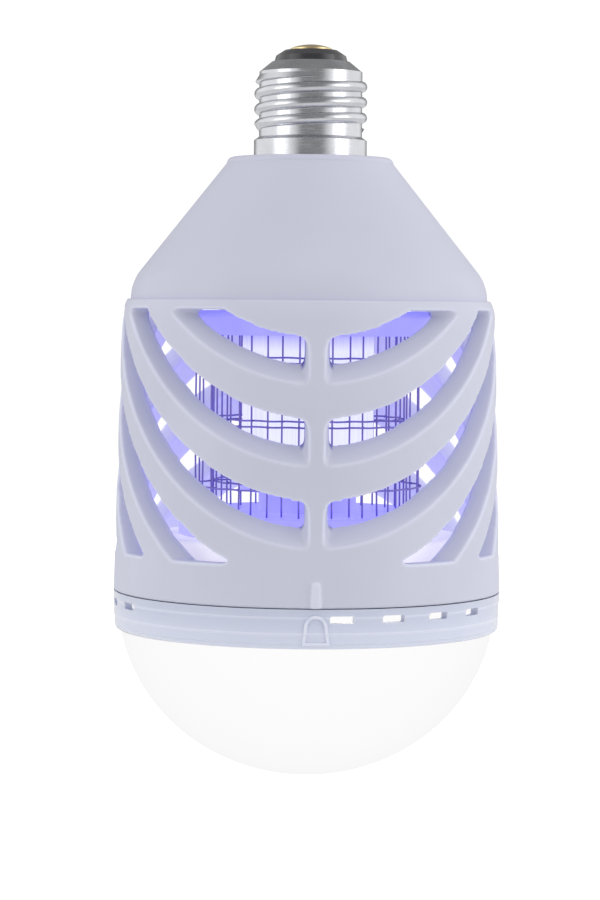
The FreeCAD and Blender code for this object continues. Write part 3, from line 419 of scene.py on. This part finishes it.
def voxel_mesh(node, size):
    """The CAD node's surface rebuilt as an even grid of small faces."""
    mesh = nodes[node].data.copy()
    scratch = link(bpy.data.objects.new("scratch", mesh))
    remesh = scratch.modifiers.new("remesh", "REMESH")
    remesh.mode = "VOXEL"
    remesh.voxel_size = size
    even = bpy.data.meshes.new_from_object(scratch.evaluated_get(bpy.context.evaluated_depsgraph_get()))
    bpy.data.objects.remove(scratch)
    return even


def vertex_vectors(values, name):
    """One row of three numbers for each vertex."""
    rows = np.empty(len(values) * 3)
    values.foreach_get(name, rows)
    return rows.reshape(-1, 3)


def mesh_points(mesh):
    return vertex_vectors(mesh.vertices, "co")


def mesh_normals(mesh):
    return vertex_vectors(mesh.vertex_normals, "vector")


def relax(mesh, passes, weight):
    """Moves every vertex towards the middle of its neighbours; weight(points) says how far, 0 to 1."""
    count = len(mesh.vertices)
    points = mesh_points(mesh)
    edges = np.empty(len(mesh.edges) * 2, dtype=np.int64)
    mesh.edges.foreach_get("vertices", edges)
    first, last = edges.reshape(-1, 2).T
    neighbours = np.bincount(first, minlength=count) + np.bincount(last, minlength=count)
    share = weight(points)[:, None]
    for _ in range(passes):
        total = np.empty_like(points)
        for axis in range(3):
            total[:, axis] = (np.bincount(first, points[last, axis], count)
                              + np.bincount(last, points[first, axis], count))
        points += share * (total / neighbours[:, None] - points)
    mesh.vertices.foreach_set("co", points.ravel())
    mesh.update()


def paint(mesh, name, values):
    mesh.attributes.new(name, "FLOAT", "POINT").data.foreach_set("value", values.astype(np.float32))


def by_slots(points):
    """How far the cage's vertices relax: free among the slots, hardly at the ring's seat and the top rim."""
    outside = np.maximum(points[:, 2] - (SLOT_TOP + 0.8 * MM), (SLOT_BASE - 1.2 * MM) - points[:, 2])
    return np.interp(outside, (0, 1.0 * MM), (0.5, 0.06))


def by_slots_inside(points):
    """The same, only for the inner half of the cage's wall."""
    reach = np.hypot(points[:, 0], points[:, 1])
    return by_slots(points) * np.interp(reach, (CAGE_R - 3.2 * MM, CAGE_R - 2.0 * MM), (1, 0))


def paint_cage(mesh, sharp):
    """Paints the masks for cage_plastic's painted highlight, painted violet glow and painted shade;
    sharp holds the vertices from before the edges were rounded.
    """
    points = mesh_points(mesh)
    normals = mesh_normals(mesh)
    reach = np.hypot(points[:, 0], points[:, 1])
    # Painted highlight mask: how far each vertex was rounded off, and the raised mark.
    cut_off = ((sharp - points) * normals).sum(axis=1)
    rounded = np.clip((cut_off - 0.03 * MM) / (0.12 * MM), 0, 1)
    mark = np.interp(reach, (CAGE_R + 0.1 * MM, CAGE_R + 0.25 * MM), (0, 1.2))
    paint(mesh, "edge", np.maximum(rounded, mark))
    # Painted glow mask: faces turned towards the axis.
    inwards = -(points[:, :2] * normals[:, :2]).sum(axis=1) / reach
    paint(mesh, "inside", np.interp(inwards, (0.7, 0.95), (0, 1)))
    # Painted shade mask: inner, sideways-facing slot ends beside the spines.
    beside_spine = np.interp(np.abs(points[:, 0]), (3.3 * MM, 3.8 * MM), (1, 0))
    depth = np.interp(reach, (CAGE_R - 4.3 * MM, CAGE_R - 3.3 * MM), (1, 0))
    sideways = np.interp(inwards, (0.3, 0.6), (1, 0))
    paint(mesh, "painted_shade", beside_spine * depth * sideways)


def rounded_cage():
    """The cage with soft slot edges."""
    mesh = voxel_mesh("cage", CAGE_VOXEL)
    sharp = mesh_points(mesh)
    relax(mesh, 12, by_slots)
    relax(mesh, 16, by_slots_inside)
    paint_cage(mesh, sharp)
    new_piece("cage_rounded", mesh, slotted_plastic, "cage")


def sweep(path, radius, closed, sides=8):
    """Points and faces of a round wire along a path; a closed path joins its own start."""
    count = len(path)
    points, faces = [], []
    for index, centre in enumerate(path):
        before = path[index - 1] if index or closed else centre
        after = path[(index + 1) % count] if index < count - 1 or closed else centre
        along = (after - before).normalized()
        across = along.cross(Vector((centre.x, centre.y, 0))).normalized()
        outwards = across.cross(along)
        for side in range(sides):
            turn = 2 * math.pi * side / sides
            points.append(centre + radius * (math.cos(turn) * across + math.sin(turn) * outwards))
    for index in range(count if closed else count - 1):
        near, far = index * sides, (index + 1) % count * sides
        for side in range(sides):
            following = (side + 1) % sides
            faces.append((near + side, near + following, far + following, far + side))
    if not closed:
        faces.append(tuple(reversed(range(sides))))
        faces.append(tuple(range((count - 1) * sides, count * sides)))
    return points, faces


def weld(centre, radius, rings=4, sides=8):
    """Points and faces of a small bead of solder."""
    points, faces = [centre + Vector((0, 0, radius))], []
    for ring in range(1, rings):
        tilt = math.pi * ring / rings
        for side in range(sides):
            turn = 2 * math.pi * side / sides
            points.append(centre + radius * Vector((math.sin(tilt) * math.cos(turn),
                                                    math.sin(tilt) * math.sin(turn), math.cos(tilt))))
    points.append(centre - Vector((0, 0, radius)))
    last = len(points) - 1
    for side in range(sides):
        following = (side + 1) % sides
        faces.append((0, 1 + side, 1 + following))
        faces.append((last, last - 1 - side, last - 1 - following))
        for ring in range(rings - 2):
            near, far = 1 + ring * sides, 1 + (ring + 1) * sides
            faces.append((near + side, far + side, far + following, near + following))
    return points, faces


def joined(name, shells):
    points, faces = [], []
    for shell_points, shell_faces in shells:
        start = len(points)
        points += shell_points
        faces += [tuple(start + corner for corner in face) for face in shell_faces]
    mesh = bpy.data.meshes.new(name)
    mesh.from_pydata(points, [], faces)
    return mesh


def around(radius, turn, z):
    """Point at an angle counted from the front (-Y) towards +X."""
    return Vector((radius * math.sin(turn), -radius * math.cos(turn), z))


def bent_rod(chance, rod_r, first_turn, low, high):
    """Path of one rod that leans and bows a little between its two seats."""
    lean = chance.uniform(-1, 1) * 0.35 * MM / rod_r
    bow = chance.uniform(-1, 1) * 0.3 * MM
    path = []
    for step in range(ROD_STEPS + 1):
        rise = step / ROD_STEPS
        bend = math.sin(math.pi * rise)
        path.append(around(rod_r + bow * bend, first_turn + lean * bend * (1 - rise),
                           low.z + rise * (high.z - low.z)))
    return path


def bent_hoop(chance, hoop_r, hoop_z, rods, phase):
    """Path of one hoop that tilts a little and dips between the rods."""
    tilt = chance.uniform(-1, 1) * 0.25 * MM
    path = []
    for step in range(HOOP_STEPS):
        turn = 2 * math.pi * step / HOOP_STEPS
        path.append(around(hoop_r + 0.08 * MM * math.sin(7 * turn + phase), turn,
                           hoop_z + tilt * math.sin(turn) + 0.06 * MM * math.sin(rods * turn)))
    return path


def basket(name, node, rods, first, rod_r, hoop_r, hoops, seed):
    """Basket of slightly bent rods, tied by hoops with a bead at every crossing."""
    low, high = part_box(node)
    chance = random.Random(seed)
    shells = []
    for index in range(rods):
        turn = math.radians(first + 360 * index / rods)
        shells.append(sweep(bent_rod(chance, rod_r, turn, low, high), WIRE_R, closed=False))
        for hoop_z in hoops:
            shells.append(weld(around((rod_r + hoop_r) / 2, turn, hoop_z), 1.5 * WIRE_R))
    for hoop_z in hoops:
        shells.append(sweep(bent_hoop(chance, hoop_r, hoop_z, rods, seed), WIRE_R, closed=True))
    new_piece(name, joined(name, shells), violet_lit_steel, node)


def baskets():
    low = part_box("outer_grid")[0].z
    outer_hoops = [low + 7.5 * MM + index * HOOP_PITCH for index in range(3)]
    inner_hoops = [z + 1.2 * MM for z in outer_hoops]
    basket("outer_basket", "outer_grid", OUTER_RODS, OUTER_FIRST, OUTER_RODS_R,
           OUTER_RODS_R + HOOP_GAP, outer_hoops, seed=3)
    basket("inner_basket", "inner_grid", INNER_RODS, INNER_FIRST, INNER_RODS_R,
           INNER_RODS_R - HOOP_GAP, inner_hoops, seed=8)


rounded_cage()
baskets()


# ---------------------------------------------------------------- studio
def plane(name, size, centre, finish):
    mesh = bpy.data.meshes.new(name)
    half = size / 2
    corners = [(-half, -half, 0), (half, -half, 0), (half, half, 0), (-half, half, 0)]
    mesh.from_pydata(corners, [], [(0, 1, 2, 3)])
    mesh.materials.append(finish)
    made = bpy.data.objects.new(name, mesh)
    made.location = centre
    link(made)


def white_floor():
    def build(tree, coords):
        faint = noise(tree, coords, 0.3)
        shade = blend_colours(tree, spread(tree, faint, 0, 1), (0.80, 0.80, 0.80, 1), (0.83, 0.83, 0.83, 1))
        seen = add(tree, "LightPath").outputs["Is Camera Ray"]
        lift = compute(tree, "MULTIPLY", seen, 0.65)
        return principled(tree, base_color=shade, roughness=0.9, emission_color=(1, 1, 1, 1),
                          emission_strength=lift)
    return material("white_floor", build)


def softbox(name, size, azimuth, elevation, distance, power, aim):
    """Square area light at an angle counted from the front (-Y) towards +X."""
    lamp = bpy.data.lights.new(name, "AREA")
    lamp.shape = "SQUARE"
    lamp.size = size
    lamp.energy = power
    made = bpy.data.objects.new(name, lamp)
    turn, rise = math.radians(azimuth), math.radians(elevation)
    away = Vector((math.sin(turn) * math.cos(rise), -math.cos(turn) * math.cos(rise), math.sin(rise)))
    made.location = aim + away * distance
    made.rotation_euler = away.to_track_quat("Z", "Y").to_euler()
    link(made)


def studio_light():
    """Even white surround, brighter at both sides, most at the right; the picture sees plain white."""
    world = bpy.data.worlds.new("studio")
    bpy.context.scene.world = world
    world.use_nodes = True
    tree = world.node_tree
    tree.nodes.clear()
    direction = add(tree, "TexCoord").outputs["Generated"]
    parts = add(tree, "SeparateXYZ", {"Vector": direction})
    side, height = parts.outputs["X"], parts.outputs["Z"]
    width = compute(tree, "ABSOLUTE", side)
    sides = remap(tree, width, 0.2, 0.9, 0.56, 1.0, "SMOOTHSTEP")
    right = compute(tree, "MULTIPLY_ADD", side, 0.09, sides)
    above = compute(tree, "MAXIMUM", height, 0.0)
    lit = compute(tree, "MULTIPLY_ADD", above, 0.45, right)
    panels = remap(tree, width, 0.35, 0.7, 0.3, 1.1, "SMOOTHSTEP")
    ray = add(tree, "LightPath")
    mirrored = remap(tree, ray.outputs["Is Glossy Ray"], 0.0, 1.0, lit, panels)
    strength = remap(tree, ray.outputs["Is Camera Ray"], 0.0, 1.0, mirrored, 1.05)
    sky = add(tree, "Background", {"Color": (1, 1, 1, 1), "Strength": strength})
    output = add(tree, "OutputWorld")
    tree.links.new(sky.outputs["Background"], output.inputs["Surface"])


def studio():
    bpy.context.scene.view_settings.view_transform = "Standard"
    studio_light()
    middle = (cad_low + cad_high) / 2
    plane("floor", 8.0, (0, 0, cad_low.z - 0.25), white_floor())
    softbox("key", 0.5, 65, 20, 0.9, 1.2, middle)
    softbox("fill", 0.5, -65, 20, 0.9, 0.8, middle)


def camera():
    """Level view from the height of the cage's top, a little left of the front, with the lens shifted."""
    lens = bpy.data.cameras.new("camera")
    lens.lens = 115.5
    lens.sensor_width = 36
    lens.shift_x = -0.01
    lens.shift_y = -0.1667
    made = bpy.data.objects.new("camera", lens)
    turn = math.radians(VIEW_TURN)
    made.location = (math.sin(turn) * VIEW_DISTANCE, -math.cos(turn) * VIEW_DISTANCE, CAGE_TOP)
    made.rotation_euler = (math.pi / 2, math.radians(PICTURE_ROLL), turn)
    bpy.context.scene.camera = link(made)


studio()
camera()
